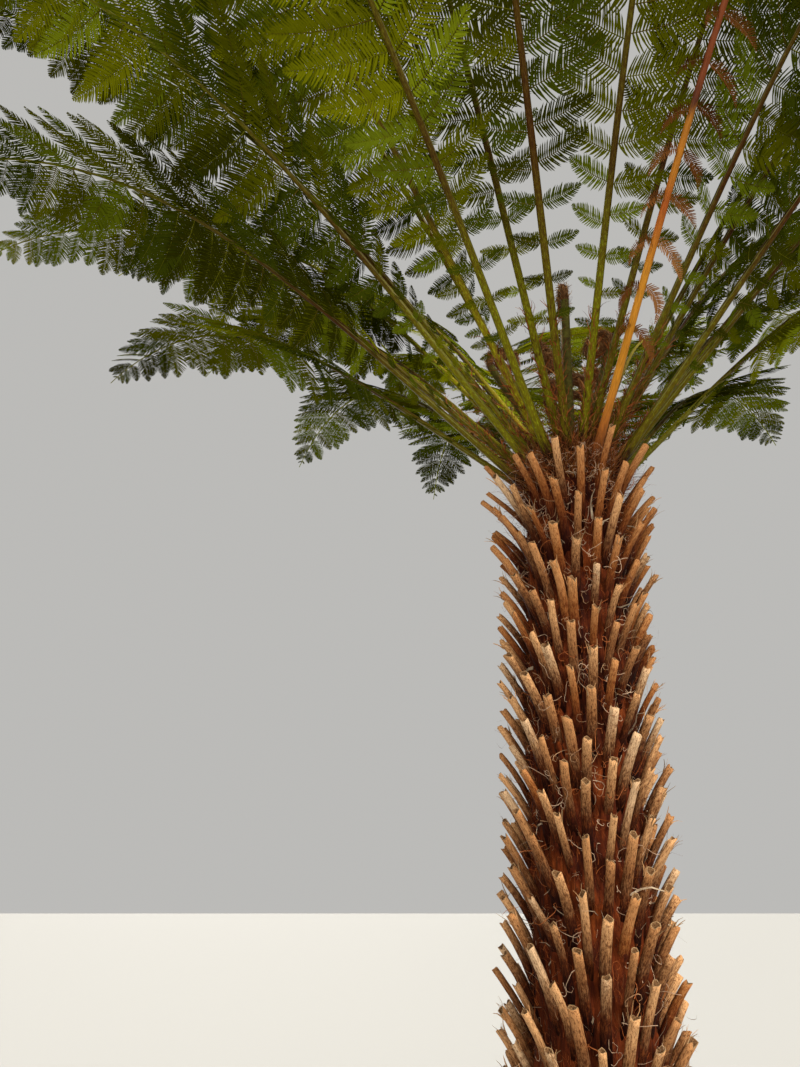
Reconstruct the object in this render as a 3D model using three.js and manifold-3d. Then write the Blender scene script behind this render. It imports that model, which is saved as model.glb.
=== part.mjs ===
// A tree fern: a trunk clad in cut leaf bases, and a crown of arching fronds round coiled young ones.
// Lengths are in millimetres, angles in radians, +Z is up, and the origin is the centre of the trunk's foot.
import * as THREE from 'three';
import Module from 'manifold-3d';

const wasm = await Module();
wasm.setup();

const DEGREE = Math.PI / 180;
const GOLDEN_ANGLE = 137.50776 * DEGREE;
const UP = new THREE.Vector3(0, 0, 1);
const CLEARANCE = 0.3;
const CROWD_MARGIN = 1.2;

// Trunk
const TRUNK_HEIGHT = 2731;
const TRUNK_LEAN = 0.062;
const TRUNK_RADIUS = 146;
const FLARE_WIDTH = 110;
const FLARE_HEIGHT = 260;
const MANTLE_RING_HEIGHTS = [0, 110, 250];
const DOME_RADIUS = 157;
const DOME_HEIGHT = 130;
const DOME_RINGS = 2;
const DOME_SHRINK = 0.86;
const DOME_LEAST_SHARE = 0.2;

// Cut leaf bases that clad the trunk, in columns that wind slowly round it, row above row
const STUB_COLUMNS = 22;
const STUB_ROWS = 38;
const ROW_HEIGHT = 60;
const ROW_TWIST = 1.5 * DEGREE;
const STUB_SHARE = 0.64;
const STUB_TIP_WIDTH = 26;
const STUB_LENGTH = 126;
const STUB_EXTRA_LENGTH = 70;
const STUB_TILT = 37 * DEGREE;
const STUB_EXTRA_TILT = 8 * DEGREE;
const LENGTHEN_FROM = 2250;
const THIN_BELOW = 1150;
const LEAST_SHOWN = 0.12;
const STUB_SPREAD = { length: 0.26, tilt: 9 * DEGREE, azimuth: 7 * DEGREE };

// Where the leaves of the crown spring, counted inwards from the rim of the dome
const CROWN_LEAVES = 40;
const FROND_COUNT = 33;
const DEAD_FROND = 7;
const FIRST_AZIMUTH = 0.786;
const INNER_TILT = 9.6 * DEGREE;
const OUTER_TILT = 44.8 * DEGREE;
const TILT_POWER = 0.7;
const TILT_SPREAD = 2.4 * DEGREE;
const SOCKET_HEIGHT = 36;
const SOCKET_SUNK = 72;
const SOCKET_WIDTH = 32;

// Fronds
const FROND_LENGTH = 3000;
const FROND_LENGTH_SPREAD = 0.08;
const FROND_BEND = 75 * DEGREE;
const FROND_BEND_SPREAD = 14 * DEGREE;
const FROND_BEND_POWER = 3.2;
const FROND_SWAY = 9 * DEGREE;
const FROND_ROLL = 7 * DEGREE;
const RIB_WIDTH = 29;
const RIB_FLATNESS = 0.7;
const RIB_TAPER = 0.84;
const RIB_STEPS = 4;

// Leaflets, in pairs along each rib
const LEAFLET_PAIRS = 20;
const LEAFLETS_FROM = 0.12;
const LEAFLETS_TO = 0.985;
const LEAFLET_CROWDING = 1.3;
const LEAFLET_LENGTH = 430;
const LEAFLET_LEAST = 0.14;
const LEAFLET_PEAK = 0.42;
const LEAFLET_FALL = 0.75;
const LEAFLET_SWEEP = { first: 80 * DEGREE, last: 45 * DEGREE };
const LEAFLET_DROOP = 12 * DEGREE;
const SHORTENED = [1, 0.8, 0.6, 0.42, 0.26];
const DEAD_LEAFLET = { length: 0.32, droop: 62 * DEGREE };

// Coiled young fronds in the middle of the crown
const CROZIER_LEAST_HEIGHT = 217;
const CROZIER_EXTRA_HEIGHT = 620;
const CROZIER_WIDTH = 26;
const CROZIER_TAPER = 0.5;
const COIL_RADIUS = 56;
const COIL_INNER_RADIUS = 17;
const COIL_TURN = 500 * DEGREE;
const COIL_STEPS = 12;

// Channels of the scatter, one for each thing that varies from leaf to leaf
const SCATTER = {
  tilt: 174,
  bend: 175,
  length: 176,
  sway: 177,
  roll: 178,
  tone: 179,
  stubShows: 180,
  stubAzimuth: 181,
  stubTilt: 182,
  stubLength: 183,
};

const COLOURS = {
  trunk: 0x7a4a2c,
  fronds: [0x4f6b1f, 0x5f7a26, 0x6c8a2c],
  deadFrond: 0xa8531c,
  crozier: 0x5a3520,
};

// Returns a number from 0 to 1 that depends only on the index and the channel, by the usual sine hash.
function scatter(index, channel) {
  const wave = Math.sin(index * 12.9898 + channel * 78.233) * 43758.5453;
  return wave - Math.floor(wave);
}

// Returns a number from -0.5 to 0.5 for the index and the channel.
function drift(index, channel) {
  return scatter(index, channel) - 0.5;
}

// Returns the point at a distance from the trunk's leaning centre line.
function onTrunk(radius, azimuth, height) {
  const x = TRUNK_LEAN * height + radius * Math.cos(azimuth);
  return new THREE.Vector3(x, radius * Math.sin(azimuth), height);
}

// Returns the directions along a leaf, to its side and out of its upper face.
function heading(azimuth, tilt, roll = 0) {
  const outward = new THREE.Vector3(Math.cos(azimuth), Math.sin(azimuth), 0);
  const along = outward.multiplyScalar(Math.sin(tilt)).addScaledVector(UP, Math.cos(tilt));
  const side = new THREE.Vector3(-Math.sin(azimuth), Math.cos(azimuth), 0).applyAxisAngle(along, roll);
  return { along, side, upper: along.clone().cross(side) };
}

// Returns the four corners of a section, counter-clockwise seen from its tip.
function section(centre, frame, width, depth) {
  const corners = [[1, 1], [-1, 1], [-1, -1], [1, -1]];
  return corners.map(([right, over]) => centre.clone()
    .addScaledVector(frame.side, right * width / 2)
    .addScaledVector(frame.upper, over * depth / 2));
}

// Returns the points and triangles of a solid through rings of points, with flat ends.
// A side face for which outgrowth returns points is drawn out to them: to one point, or to four corners.
function loft(rings, outgrowth = () => null) {
  const sides = rings[0].length;
  const points = rings.flat();
  const triangles = [];
  for (let ring = 0; ring + 1 < rings.length; ring += 1) {
    for (let side = 0; side < sides; side += 1) {
      const next = (side + 1) % sides;
      const low = ring * sides;
      const high = low + sides;
      const face = [low + side, low + next, high + next, high + side];
      triangles.push(...faceTriangles(face, outgrowth(ring, side), points));
    }
  }
  const end = (rings.length - 1) * sides;
  for (let corner = 1; corner + 1 < sides; corner += 1) {
    triangles.push(0, corner + 1, corner);
    triangles.push(end, end + corner, end + corner + 1);
  }
  return { points, triangles };
}

// Returns the triangles of one side face, or of what it is drawn out to.
function faceTriangles(face, tip, points) {
  const [a, b, c, d] = face;
  if (!tip) return [a, b, c, a, c, d];
  const first = points.length;
  points.push(...tip);
  if (tip.length === 1) return [a, b, first, b, c, first, c, d, first, d, a, first];
  const end = tip.map((_, corner) => first + corner);
  const walls = face.flatMap((low, corner) => {
    const next = (corner + 1) % face.length;
    return [low, face[next], end[next], low, end[next], end[corner]];
  });
  return [...walls, end[0], end[1], end[2], end[0], end[2], end[3]];
}

// Returns the five-cornered spike that a side face is drawn out to, as a shape of its own.
function spike(root, tip) {
  const triangles = [0, 1, 4, 1, 2, 4, 2, 3, 4, 3, 0, 4, 0, 2, 1, 0, 3, 2];
  return { points: [...root, tip], triangles };
}

// Returns a solid that can be cut and joined from points and triangles.
function toSolid({ points, triangles }) {
  const vertProperties = new Float32Array(points.flatMap((point) => point.toArray()));
  const triVerts = new Uint32Array(triangles);
  return new wasm.Manifold(new wasm.Mesh({ numProp: 3, vertProperties, triVerts }));
}

// Returns the geometry of a solid.
function toGeometry(solid) {
  const mesh = solid.getMesh();
  const geometry = new THREE.BufferGeometry();
  geometry.setAttribute('position', new THREE.BufferAttribute(mesh.vertProperties, 3));
  geometry.setIndex(new THREE.BufferAttribute(mesh.triVerts, 1));
  geometry.computeVertexNormals();
  return geometry;
}

// Returns the radius of the trunk between its leaf bases, with the flare near the ground.
function trunkRadius(height) {
  return TRUNK_RADIUS + FLARE_WIDTH * Math.exp(-height / FLARE_HEIGHT);
}

// Returns the height of the dome at a share of its radius.
function domeHeight(share) {
  return TRUNK_HEIGHT + DOME_HEIGHT * (1 - share * share);
}

// Returns the share from 0 to 1 that a height has reached between two levels.
function between(height, low, high) {
  return THREE.MathUtils.clamp((height - low) / (high - low), 0, 1);
}

// Returns a ring of the trunk, with two points for each column: the sides of its leaf bases.
function trunkRing(radius, height, row) {
  const pitch = (2 * Math.PI) / STUB_COLUMNS;
  const ring = [];
  for (let column = 0; column < STUB_COLUMNS; column += 1) {
    for (const edge of [-STUB_SHARE / 2, STUB_SHARE / 2]) {
      ring.push(onTrunk(radius, (column + edge) * pitch + row * ROW_TWIST, height));
    }
  }
  return ring;
}

// Returns the height of the lower edge of a row of leaf bases, counted up from the mantle.
function rowHeight(row) {
  return TRUNK_HEIGHT - (STUB_ROWS - row) * ROW_HEIGHT;
}

// Returns whether a leaf base stands out of its face: every second one, and fewer near the ground.
function stubShows(row, column, index) {
  const height = rowHeight(row);
  const share = LEAST_SHOWN + between(height, rowHeight(0), THIN_BELOW);
  return (row + column) % 2 === 0 && row < STUB_ROWS - 1 && scatter(index, SCATTER.stubShows) < share;
}

// Returns the four corners of a leaf base's cut end, or null where none stands.
function stubEnd(row, column) {
  const index = row * STUB_COLUMNS + column;
  if (!stubShows(row, column, index)) return null;
  const height = rowHeight(row) + ROW_HEIGHT / 2;
  const lengthening = between(height, LENGTHEN_FROM, TRUNK_HEIGHT);
  const azimuth = (column / STUB_COLUMNS) * 2 * Math.PI + (row + 0.5) * ROW_TWIST;
  const turned = azimuth + STUB_SPREAD.azimuth * drift(index, SCATTER.stubAzimuth);
  const tilt = STUB_TILT + STUB_EXTRA_TILT * lengthening + STUB_SPREAD.tilt * drift(index, SCATTER.stubTilt);
  const length = (STUB_LENGTH + STUB_EXTRA_LENGTH * lengthening)
    * (1 + STUB_SPREAD.length * drift(index, SCATTER.stubLength));
  const frame = heading(turned, tilt);
  const centre = onTrunk(trunkRadius(height), azimuth, height).addScaledVector(frame.along, length);
  const [farLeft, nearLeft, nearRight, farRight] = section(centre, frame, STUB_TIP_WIDTH, STUB_TIP_WIDTH);
  return [nearRight, farRight, farLeft, nearLeft];
}

// Returns the trunk's shaft with its leaf bases, and its dome.
function shaft() {
  const rings = MANTLE_RING_HEIGHTS.map((height) => trunkRing(trunkRadius(height), height, 0));
  const firstRow = rings.length;
  for (let row = 0; row <= STUB_ROWS; row += 1) {
    rings.push(trunkRing(trunkRadius(rowHeight(row)), rowHeight(row), row));
  }
  for (let ring = 1; ring <= DOME_RINGS; ring += 1) {
    const share = THREE.MathUtils.lerp(1, DOME_LEAST_SHARE, ring / DOME_RINGS);
    const radius = DOME_RADIUS * DOME_SHRINK * share;
    rings.push(trunkRing(radius, domeHeight(share) - SOCKET_HEIGHT, STUB_ROWS));
  }
  const lastRow = firstRow + STUB_ROWS;
  const isStubFace = (ring, side) => side % 2 === 0 && ring >= firstRow && ring < lastRow;
  return toSolid(loft(rings, (ring, side) => isStubFace(ring, side) && stubEnd(ring - firstRow, side / 2)));
}

// Returns where a leaf of the crown springs and how it leaves the dome.
function crownLeaf(index) {
  const share = Math.sqrt((CROWN_LEAVES - 0.5 - index) / CROWN_LEAVES);
  const azimuth = FIRST_AZIMUTH + index * GOLDEN_ANGLE;
  const tilt = INNER_TILT + (OUTER_TILT - INNER_TILT) * share ** TILT_POWER
    + TILT_SPREAD * drift(index, SCATTER.tilt);
  const seat = onTrunk(DOME_RADIUS * share, azimuth, domeHeight(share));
  const frame = heading(azimuth, tilt);
  const base = seat.clone().addScaledVector(frame.along, CLEARANCE);
  return { index, share, azimuth, tilt, seat, base };
}

// Returns the short socket on the dome that ends where a leaf of the crown begins.
function socket(index) {
  const leaf = crownLeaf(index);
  const frame = heading(leaf.azimuth, leaf.tilt);
  const root = leaf.seat.clone().addScaledVector(frame.along, -SOCKET_SUNK);
  const depth = SOCKET_WIDTH * RIB_FLATNESS;
  return toSolid(loft([root, leaf.seat].map((centre) => section(centre, frame, SOCKET_WIDTH, depth))));
}

// Returns the trunk with a socket for each leaf of the crown.
function trunk() {
  const sockets = Array.from({ length: CROWN_LEAVES }, (_, index) => socket(index));
  return wasm.Manifold.union([shaft(), ...sockets]);
}

// Returns a frond's directions at a fraction of its length: nearly straight at first, then arching over.
function frondFrame(leaf, fraction) {
  const bend = FROND_BEND + FROND_BEND_SPREAD * drift(leaf.index, SCATTER.bend);
  const sway = FROND_SWAY * drift(leaf.index, SCATTER.sway);
  const roll = FROND_ROLL * drift(leaf.index, SCATTER.roll);
  const tilt = leaf.tilt + bend * fraction ** FROND_BEND_POWER;
  return heading(leaf.azimuth + sway * fraction ** 2, tilt, roll * fraction);
}

// Returns the fractions of a rib at which its sections lie, which are the bounds of its leaflets.
function ribFractions() {
  const bounds = [];
  for (let pair = 0; pair <= LEAFLET_PAIRS; pair += 1) {
    const crowded = 1 - (1 - pair / LEAFLET_PAIRS) ** LEAFLET_CROWDING;
    bounds.push(LEAFLETS_FROM + (LEAFLETS_TO - LEAFLETS_FROM) * crowded);
  }
  return [0, ...bounds, 1];
}

// Returns the rib's sections from the trunk to the tip.
function ribSections(leaf) {
  const length = FROND_LENGTH * (1 + FROND_LENGTH_SPREAD * drift(leaf.index, SCATTER.length));
  const point = leaf.base.clone();
  let reached = 0;
  return ribFractions().map((fraction) => {
    const step = (fraction - reached) / RIB_STEPS;
    for (let i = 0; i < RIB_STEPS; i += 1) {
      point.addScaledVector(frondFrame(leaf, reached + (i + 0.5) * step).along, step * length);
    }
    reached = fraction;
    const width = RIB_WIDTH * (1 - RIB_TAPER * fraction);
    return { centre: point.clone(), frame: frondFrame(leaf, fraction), width, depth: width * RIB_FLATNESS };
  });
}

// Returns a leaflet's length at a share of the way along the row of leaflets.
function leafletLength(share) {
  const rise = THREE.MathUtils.smoothstep(share, 0, LEAFLET_PEAK);
  const fall = Math.min((1 - share) / (1 - LEAFLET_PEAK), 1) ** LEAFLET_FALL;
  return LEAFLET_LENGTH * (LEAFLET_LEAST + (1 - LEAFLET_LEAST) * rise) * fall;
}

// Returns the middle of a face.
function middle(face) {
  return face.reduce((sum, corner) => sum.add(corner), new THREE.Vector3()).divideScalar(face.length);
}

// Returns the tip of a leaflet that grows from the side face between two sections.
function leafletTip(root, frame, share, hand, dead, scale) {
  const sweep = THREE.MathUtils.lerp(LEAFLET_SWEEP.first, LEAFLET_SWEEP.last, share);
  const droop = dead ? DEAD_LEAFLET.droop : LEAFLET_DROOP;
  const length = leafletLength(share) * scale * (dead ? DEAD_LEAFLET.length : 1);
  return middle(root)
    .addScaledVector(frame.side, hand * length * Math.sin(sweep) * Math.cos(droop))
    .addScaledVector(frame.along, length * Math.cos(sweep))
    .addScaledVector(frame.upper, -length * Math.sin(droop));
}

// A solid in the crown's space, kept with its box and its owner so that nearby ones are found quickly.
function obstacle(shape, owner) {
  return { solid: toSolid(shape), box: new THREE.Box3().setFromPoints(shape.points), owner };
}

// Returns whether two obstacles of different leaves touch.
function touches(one, other) {
  if (one.owner === other.owner || !one.box.intersectsBox(other.box)) return false;
  const common = one.solid.intersect(other.solid);
  const touching = !common.isEmpty();
  common.delete();
  return touching;
}

// Returns a section grown by the clearance that solids keep from each other.
function grown(part) {
  return section(part.centre, part.frame, part.width + CROWD_MARGIN, part.depth + CROWD_MARGIN);
}

// Returns the stretches of a leaf's rib or stalk as obstacles.
function ribObstacles(sections, owner) {
  const pieces = [];
  for (let i = 0; i + 1 < sections.length; i += 1) {
    pieces.push(obstacle(loft([grown(sections[i]), grown(sections[i + 1])]), owner));
  }
  return pieces;
}

// The side faces of a section's loft that leaflets grow from, with the hand of each.
const LEAFLET_FACES = [{ side: 1, hand: -1 }, { side: 3, hand: 1 }];

// Returns the corners of one side face between two rings.
function sideFace(low, high, side) {
  const next = (side + 1) % low.length;
  return [low[side], low[next], high[next], high[side]];
}

// Returns the tip of the longest leaflet that touches nothing, or null where even the shortest would.
function clearTip(sections, pair, face, owner, crowd) {
  const low = sections[pair + 1];
  const high = sections[pair + 2];
  const share = (pair + 0.5) / LEAFLET_PAIRS;
  const root = sideFace(grown(low), grown(high), face.side);
  for (const scale of SHORTENED) {
    const tip = leafletTip(root, low.frame, share, face.hand, owner === DEAD_FROND, scale);
    const tried = obstacle(spike(root, tip), owner);
    if (!crowd.some((other) => touches(tried, other))) {
      crowd.push(tried);
      return tip;
    }
    tried.solid.delete();
  }
  return null;
}

// Returns one frond as a rib with a spike for each leaflet.
function frond(sections, owner, crowd) {
  const tips = new Map();
  for (let pair = 0; pair < LEAFLET_PAIRS; pair += 1) {
    for (const face of LEAFLET_FACES) {
      const tip = clearTip(sections, pair, face, owner, crowd);
      if (tip) tips.set(`${pair + 1} ${face.side}`, [tip]);
    }
  }
  const rings = sections.map((part) => section(part.centre, part.frame, part.width, part.depth));
  return toSolid(loft(rings, (ring, side) => tips.get(`${ring} ${side}`)));
}

// Returns the sections of a coiled young frond: a scaly stalk and a coil that turns inwards.
function crozierSections(leaf) {
  const frame = heading(leaf.azimuth, leaf.tilt);
  const { along, side, upper } = frame;
  const stalk = (CROZIER_LEAST_HEIGHT + CROZIER_EXTRA_HEIGHT * leaf.share)
    * (1 + FROND_LENGTH_SPREAD * drift(leaf.index, SCATTER.length));
  const coilCentre = leaf.base.clone().addScaledVector(along, stalk).addScaledVector(upper, COIL_RADIUS);
  const widthAt = (share) => CROZIER_WIDTH * (1 - CROZIER_TAPER * share ** 2);
  const parts = [{ centre: leaf.base, frame, width: CROZIER_WIDTH, depth: CROZIER_WIDTH }];
  for (let step = 0; step <= COIL_STEPS; step += 1) {
    const share = step / COIL_STEPS;
    const angle = COIL_TURN * share;
    const radius = THREE.MathUtils.lerp(COIL_RADIUS, COIL_INNER_RADIUS, share);
    const centre = coilCentre.clone()
      .addScaledVector(upper, -radius * Math.cos(angle))
      .addScaledVector(along, radius * Math.sin(angle));
    const turned = upper.clone().multiplyScalar(Math.cos(angle)).addScaledVector(along, -Math.sin(angle));
    parts.push({ centre, frame: { side, upper: turned }, width: widthAt(share), depth: widthAt(share) });
  }
  return parts;
}

// Returns the mesh of one part of the plant.
function named(name, solid, colour) {
  const material = new THREE.MeshStandardMaterial({ color: colour, roughness: 0.8, metalness: 0 });
  const mesh = new THREE.Mesh(toGeometry(solid), material);
  mesh.name = name;
  return mesh;
}

// Returns the colour of a frond: one of the greens, or that of dead leaf.
function frondColour(index) {
  if (index === DEAD_FROND) return COLOURS.deadFrond;
  return COLOURS.fronds[Math.floor(scatter(index, SCATTER.tone) * COLOURS.fronds.length)];
}

// Returns the name of a frond, numbered inwards from the rim of the crown.
function frondName(index) {
  return index === DEAD_FROND ? 'dead_frond' : `frond_${String(index + 1).padStart(2, '0')}`;
}

const leaves = Array.from({ length: CROWN_LEAVES }, (_, index) => crownLeaf(index));
const fronds = leaves.slice(0, FROND_COUNT).map((leaf) => ({ leaf, sections: ribSections(leaf) }));
const croziers = leaves.slice(FROND_COUNT).map((leaf) => ({ leaf, sections: crozierSections(leaf) }));
const crowd = [...fronds, ...croziers].flatMap(({ leaf, sections }) => ribObstacles(sections, leaf.index));

const group = new THREE.Group();
group.add(named('trunk', trunk(), COLOURS.trunk));
for (const { leaf, sections } of fronds) {
  group.add(named(frondName(leaf.index), frond(sections, leaf.index, crowd), frondColour(leaf.index)));
}
for (const { leaf, sections } of croziers) {
  const rings = sections.map((part) => section(part.centre, part.frame, part.width, part.depth));
  group.add(named(`crozier_${leaf.index - FROND_COUNT + 1}`, toSolid(loft(rings)), COLOURS.crozier));
}

export default group;
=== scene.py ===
"""A tree fern: a trunk clad in cut leaf bases, arching fronds with fine leaflets, and coiled young fronds.

Lengths are in metres and angles in radians, +Z is up, and the origin is the centre of the trunk's foot.
"""

import bpy
import numpy as np
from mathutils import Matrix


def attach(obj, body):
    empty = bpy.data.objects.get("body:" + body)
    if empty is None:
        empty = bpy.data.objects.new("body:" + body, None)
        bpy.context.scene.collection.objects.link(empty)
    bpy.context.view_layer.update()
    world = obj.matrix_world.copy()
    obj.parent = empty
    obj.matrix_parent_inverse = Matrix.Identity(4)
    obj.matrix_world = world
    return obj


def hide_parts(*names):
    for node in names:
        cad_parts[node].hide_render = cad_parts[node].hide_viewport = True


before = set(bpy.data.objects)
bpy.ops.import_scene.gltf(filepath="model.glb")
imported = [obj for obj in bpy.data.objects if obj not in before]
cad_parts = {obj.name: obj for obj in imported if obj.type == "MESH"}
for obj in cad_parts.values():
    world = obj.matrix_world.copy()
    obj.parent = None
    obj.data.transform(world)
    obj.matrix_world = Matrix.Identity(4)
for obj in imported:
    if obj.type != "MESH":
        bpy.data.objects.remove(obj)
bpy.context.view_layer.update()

DEGREE = np.pi / 180
TURN = 2 * np.pi
GOLDEN_ANGLE = 137.50776 * DEGREE
UP = np.array([0.0, 0.0, 1.0])

# Trunk, as in the solids
TRUNK_HEIGHT = 2.731
TRUNK_LEAN = 0.062
TRUNK_RADIUS = 0.146
FLARE_WIDTH = 0.11
FLARE_HEIGHT = 0.26
DOME_RADIUS = 0.157
DOME_HEIGHT = 0.13
DOME_SHRINK = 0.86
DOME_SUNK = 0.036

# Cut leaf bases, as in the solids
STUB_COLUMNS = 22
STUB_ROWS = 38
ROW_HEIGHT = 0.06
ROW_TWIST = 1.5 * DEGREE
STUB_LENGTH = 0.126
STUB_EXTRA_LENGTH = 0.07
STUB_LENGTH_SPREAD = 0.26
STUB_TILT = 37 * DEGREE
STUB_EXTRA_TILT = 8 * DEGREE
STUB_TILT_SPREAD = 9 * DEGREE
STUB_AZIMUTH_SPREAD = 7 * DEGREE
LENGTHEN_FROM = 2.25
THIN_BELOW = 1.15
LEAST_SHOWN = 0.12

# Leaves of the crown, as in the solids
CROWN_LEAVES = 40
FROND_COUNT = 33
DEAD_FROND = 7
FIRST_AZIMUTH = 0.786
INNER_TILT = 9.6 * DEGREE
OUTER_TILT = 44.8 * DEGREE
TILT_POWER = 0.7
TILT_SPREAD = 2.4 * DEGREE
FROND_LENGTH = 3.0
FROND_LENGTH_SPREAD = 0.08
FROND_BEND = 75 * DEGREE
FROND_BEND_SPREAD = 14 * DEGREE
FROND_BEND_POWER = 3.2
FROND_SWAY = 9 * DEGREE
FROND_ROLL = 7 * DEGREE
RIB_WIDTH = 0.029
RIB_TAPER = 0.84
LEAFLETS_FROM = 0.12
LEAFLETS_TO = 0.985
LEAFLET_CROWDING = 1.3
LEAFLET_LENGTH = 0.43
LEAFLET_LEAST = 0.14
LEAFLET_PEAK = 0.42
LEAFLET_FALL = 0.75
FIRST_SWEEP = 80 * DEGREE
LAST_SWEEP = 45 * DEGREE
CROZIER_LEAST_HEIGHT = 0.217
CROZIER_EXTRA_HEIGHT = 0.62
CROZIER_WIDTH = 0.026
COIL_RADIUS = 0.056
COIL_INNER_RADIUS = 0.017
COIL_TURN = 500 * DEGREE

# Channels of the scatter, as in the solids
TILT_CHANNEL = 174
BEND_CHANNEL = 175
LENGTH_CHANNEL = 176
SWAY_CHANNEL = 177
ROLL_CHANNEL = 178
TONE_CHANNEL = 179
STUB_SHOWS_CHANNEL = 180
STUB_AZIMUTH_CHANNEL = 181
STUB_TILT_CHANNEL = 182
STUB_LENGTH_CHANNEL = 183

# Finer growth of the trunk, in this scene alone
MANTLE_COLUMNS = 288
MANTLE_STEP = 0.0098
MANTLE_SUNK = 0.004
MANTLE_WAVES = 30
DOME_RINGS = 16
FOOT_ROOTS = 900
ROOT_RINGS = 11
ROOT_CORNERS = 5
BASE_CORNERS = 8
CUP_DEPTH = 0.014
SPLINTER_STEPS = 4
HAIRS = 13000
HAIR_STEPS = 5
CURLS = 1500
CURL_STEPS = 11
DOME_WOOL = 6000
RIB_WOOL = 260
WOOLLY_FROM = 11

# Finer growth of the crown, in this scene alone
COURSE_STEPS = 400
RIB_RINGS = 46
RIB_SLIMNESS = 0.96
RIB_SECTION = np.array([-20, -8, 12, 50, 90, 130, 168, 188, 200, 235, 270, 305]) * DEGREE
RIB_GROOVE = 4
RIB_FLANKS = [0, 7]
MIDRIB_RINGS = 6
FINE_PAIRS = 32
DEAD_PAIRS = 27
SEGMENTS_MOST = 40
SEGMENTS_LEAST = 4
SEGMENT_LENGTH = 0.083
SEGMENT_HALF_WIDTH = 0.42
SEGMENT_ROLL = 15 * DEGREE
SMALL_LEAFLET_EXTRA = 0.1
DEAD_SEGMENT_LENGTH = 0.036
DEAD_SEGMENT_HALF_WIDTH = 0.34
LEAFLET_PIECES = 6
STALK_RINGS = 12
COIL_RINGS = 44
COIL_CORNERS = 10
SCALES_EACH = 1200
SCALE_STEPS = 4

FLOOR_REACH = 60.0
WHITE = (1, 1, 1)


# The rule of the solids

def scatter(index, channel):
    """A number from 0 to 1 for each index: what follows the point in a large multiple of a sine."""
    large = np.sin(index * 12.9898 + channel * 78.233) * 43758.5453
    return large - np.floor(large)


def drift(index, channel):
    """A number from -0.5 to 0.5 for each index."""
    return scatter(index, channel) - 0.5


def unit(vectors):
    """Each vector divided by its length."""
    return vectors / np.linalg.norm(vectors, axis=-1, keepdims=True)


def on_trunk(radius, azimuth, height):
    """The lean times the height along +X, plus the radius turned by the azimuth, at that height."""
    x = TRUNK_LEAN * height + radius * np.cos(azimuth)
    return np.stack(np.broadcast_arrays(x, radius * np.sin(azimuth), height), axis=-1)


def heading(azimuth, tilt, roll=0.0):
    """Directions along a leaf, to its side and out of its upper face.

    Along is straight up, tilted outwards. Side is level, turned about along by the roll. Upper is their
    cross product.
    """
    azimuth, tilt, roll = (angle[..., None] for angle in np.broadcast_arrays(azimuth, tilt, roll))
    outward = np.concatenate([np.cos(azimuth), np.sin(azimuth), 0 * azimuth], axis=-1)
    level = np.cross(UP, outward)
    along = np.sin(tilt) * outward + np.cos(tilt) * UP
    side = np.cos(roll) * level + np.sin(roll) * np.cross(along, level)
    return along, side, np.cross(along, side)


def trunk_radius(height):
    """The radius between the leaf bases, plus a flare that fades exponentially with height."""
    return TRUNK_RADIUS + FLARE_WIDTH * np.exp(-height / FLARE_HEIGHT)


def dome_height(share):
    """The trunk's height plus a dome that falls with the square of the share of its radius."""
    return TRUNK_HEIGHT + DOME_HEIGHT * (1 - share ** 2)


def row_height(row):
    """The height of the lower edge of a row of leaf bases, counted down from the trunk's top."""
    return TRUNK_HEIGHT - (STUB_ROWS - row) * ROW_HEIGHT


def crown_leaf(index):
    """Where leaves spring from the dome: a spiral of golden angles whose radius goes as a square root."""
    share = np.sqrt((CROWN_LEAVES - 0.5 - index) / CROWN_LEAVES)
    azimuth = FIRST_AZIMUTH + index * GOLDEN_ANGLE
    tilt = INNER_TILT + (OUTER_TILT - INNER_TILT) * share ** TILT_POWER
    tilt = tilt + TILT_SPREAD * drift(index, TILT_CHANNEL)
    seat = on_trunk(DOME_RADIUS * share, azimuth, dome_height(share))
    return {"index": index, "share": share, "azimuth": azimuth, "tilt": tilt, "seat": seat}


def pick(leaves, chosen):
    """The leaves for which chosen is true."""
    return {name: values[chosen] for name, values in leaves.items()}


def varied_length(leaves):
    """The share of the usual length that each leaf has."""
    return 1 + FROND_LENGTH_SPREAD * drift(leaves["index"], LENGTH_CHANNEL)


def frond_frame(leaves, fraction):
    """Directions at fractions of each frond. Its tilt grows with a high power of the fraction.

    It sways with the fraction's square and rolls evenly.
    """
    index = leaves["index"][:, None]
    bend = FROND_BEND + FROND_BEND_SPREAD * drift(index, BEND_CHANNEL)
    sway = FROND_SWAY * drift(index, SWAY_CHANNEL)
    roll = FROND_ROLL * drift(index, ROLL_CHANNEL)
    tilt = leaves["tilt"][:, None] + bend * fraction ** FROND_BEND_POWER
    return heading(leaves["azimuth"][:, None] + sway * fraction ** 2, tilt, roll * fraction)


def frond_course(leaves, fraction):
    """Points of each rib at the fractions: its base plus the running sum of its direction in small steps."""
    middles = (np.arange(COURSE_STEPS) + 0.5) / COURSE_STEPS
    length = FROND_LENGTH * varied_length(leaves)
    steps = frond_frame(leaves, middles)[0] * (length / COURSE_STEPS)[:, None, None]
    course = np.concatenate([leaves["seat"][:, None], steps], axis=1).cumsum(axis=1)
    place = fraction * COURSE_STEPS
    below = np.minimum(place.astype(int), COURSE_STEPS - 1)
    part = (place - below)[:, None]
    return course[:, below] * (1 - part) + course[:, below + 1] * part


def leaflet_places(pairs):
    """Fractions of a rib at which its pairs of leaflets stand, closer together near its tip."""
    crowded = 1 - (1 - np.arange(pairs + 1) / pairs) ** LEAFLET_CROWDING
    bounds = LEAFLETS_FROM + (LEAFLETS_TO - LEAFLETS_FROM) * crowded
    return (bounds[1:] + bounds[:-1]) / 2


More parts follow.
